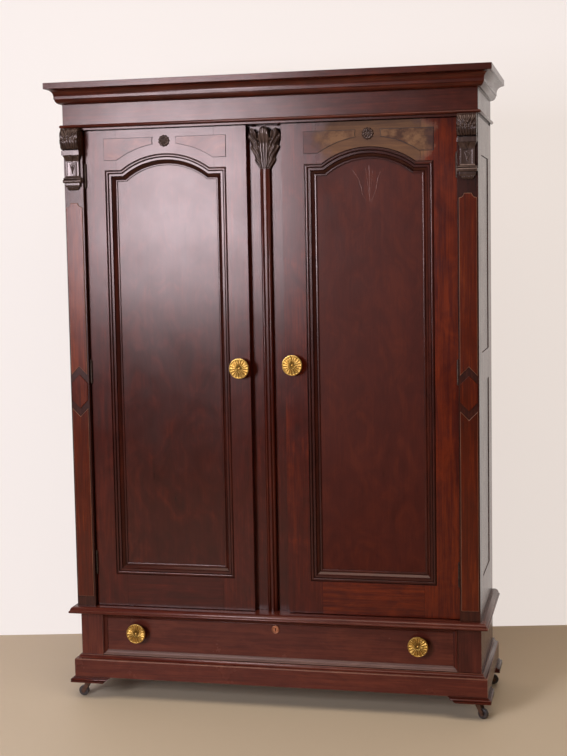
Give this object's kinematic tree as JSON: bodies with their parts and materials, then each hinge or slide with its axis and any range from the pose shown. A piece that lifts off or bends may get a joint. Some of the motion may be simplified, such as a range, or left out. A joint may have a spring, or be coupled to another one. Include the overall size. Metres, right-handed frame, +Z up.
{
  "type": "wardrobe",
  "caption": "Tall knock-down wardrobe with arched panel doors, carved corbels, a moulded cornice, a long drawer in the base and small casters",
  "frame": {"origin": "centre of the bounding box at floor level", "axes": "+X to the right as seen from the front, the front faces -Y, +Z up"},
  "size_m": [1.496, 0.518, 2.134],
  "materials": {
    "mahogany": "french polished, worn",
    "carving": "polished, dark in the cuts",
    "pilaster_ground": "french polished",
    "figured_veneer": "french polished veneer",
    "burl_veneer": "french polished burl veneer",
    "pine": "bare, aged",
    "brass": "gilt, toned in the flutes",
    "caster_iron": "dark, dull",
    "caster_wheel": "dark turned wood, dull"
  },
  "bodies": {
    "root": {"cornice_moulding": "mahogany", "cornice_top": "pine", "frieze": "mahogany", "frieze_bead": "mahogany", "left_side_frame": "mahogany", "right_side_frame": "mahogany", "side_panels": "mahogany", "left_pilaster": "pilaster_ground", "right_pilaster": "pilaster_ground", "pilaster_panels": "figured_veneer", "pilaster_lozenges": "figured_veneer", "left_corbel": "carving", "right_corbel": "carving", "centre_stile": "mahogany", "reeded_column": "mahogany", "leaf_capital": "carving", "back_frame": "pine", "back_panels": "pine", "case_top": "pine", "case_floor": "pine", "hanging_rod": "pine", "rod_sockets": "mahogany", "waist_moulding": "mahogany", "base_frame": "mahogany", "drawer_runners": "pine", "plinth": "mahogany", "foot_pads": "mahogany", "case_fittings": "brass", "caster_plates": "caster_iron"},
    "left_door": {"left_door_frame": "mahogany", "left_door_panel": "figured_veneer", "left_door_moulding": "mahogany", "left_door_spandrels": "burl_veneer", "left_door_rosette": "carving", "left_door_knob": "brass", "left_door_hinges": "brass", "left_door_catch": "brass"},
    "right_door": {"right_door_frame": "mahogany", "right_door_panel": "figured_veneer", "right_door_moulding": "mahogany", "right_door_spandrels": "burl_veneer", "right_door_rosette": "carving", "right_door_knob": "brass", "right_door_hinges": "brass", "right_door_catch": "brass"},
    "drawer": {"drawer_front": "mahogany", "drawer_border": "mahogany", "drawer_sides": "pine", "drawer_back": "pine", "drawer_bottom": "pine", "drawer_knobs": "brass", "drawer_lock": "brass"},
    "front_left_caster": {"front_left_caster": "caster_iron"},
    "front_left_wheel": {"front_left_wheel": "caster_wheel"},
    "front_right_caster": {"front_right_caster": "caster_iron"},
    "front_right_wheel": {"front_right_wheel": "caster_wheel"},
    "rear_left_caster": {"rear_left_caster": "caster_iron"},
    "rear_left_wheel": {"rear_left_wheel": "caster_wheel"},
    "rear_right_caster": {"rear_right_caster": "caster_iron"},
    "rear_right_wheel": {"rear_right_wheel": "caster_wheel"}
  },
  "joints": [
    {"name": "left_door_swing", "type": "hinge", "parent": "root", "child": "left_door", "pos_m": [-0.6297, -0.1949, 1.1565], "axis": [0, 0, -1], "range_deg": [0, 95]},
    {"name": "right_door_swing", "type": "hinge", "parent": "root", "child": "right_door", "pos_m": [0.6297, -0.1949, 1.1565], "axis": [0, 0, 1], "range_deg": [0, 95]},
    {"name": "drawer_slide", "type": "slide", "parent": "root", "child": "drawer", "axis": [0, -1, 0], "range_m": [0, 0.34]},
    {"name": "front_left_swivel", "type": "hinge", "parent": "root", "child": "front_left_caster", "pos_m": [-0.684, -0.159, 0.06], "axis": [0, 0, 1], "continuous": true},
    {"name": "front_left_roll", "type": "hinge", "parent": "front_left_caster", "child": "front_left_wheel", "pos_m": [-0.706, -0.159, 0.018], "axis": [0, -1, 0], "continuous": true},
    {"name": "front_right_swivel", "type": "hinge", "parent": "root", "child": "front_right_caster", "pos_m": [0.684, -0.159, 0.06], "axis": [0, 0, 1], "continuous": true},
    {"name": "front_right_roll", "type": "hinge", "parent": "front_right_caster", "child": "front_right_wheel", "pos_m": [0.70342, -0.16933, 0.018], "axis": [0.4695, 0.8829, 0], "continuous": true},
    {"name": "rear_left_swivel", "type": "hinge", "parent": "root", "child": "rear_left_caster", "pos_m": [-0.684, 0.209, 0.06], "axis": [0, 0, 1], "continuous": true},
    {"name": "rear_left_roll", "type": "hinge", "parent": "rear_left_caster", "child": "rear_left_wheel", "pos_m": [-0.70467, 0.21652, 0.018], "axis": [-0.342, -0.9397, 0], "continuous": true},
    {"name": "rear_right_swivel", "type": "hinge", "parent": "root", "child": "rear_right_caster", "pos_m": [0.684, 0.209, 0.06], "axis": [0, 0, 1], "continuous": true},
    {"name": "rear_right_roll", "type": "hinge", "parent": "rear_right_caster", "child": "rear_right_wheel", "pos_m": [0.70552, 0.21357, 0.018], "axis": [-0.2079, 0.9781, 0], "continuous": true}
  ]
}
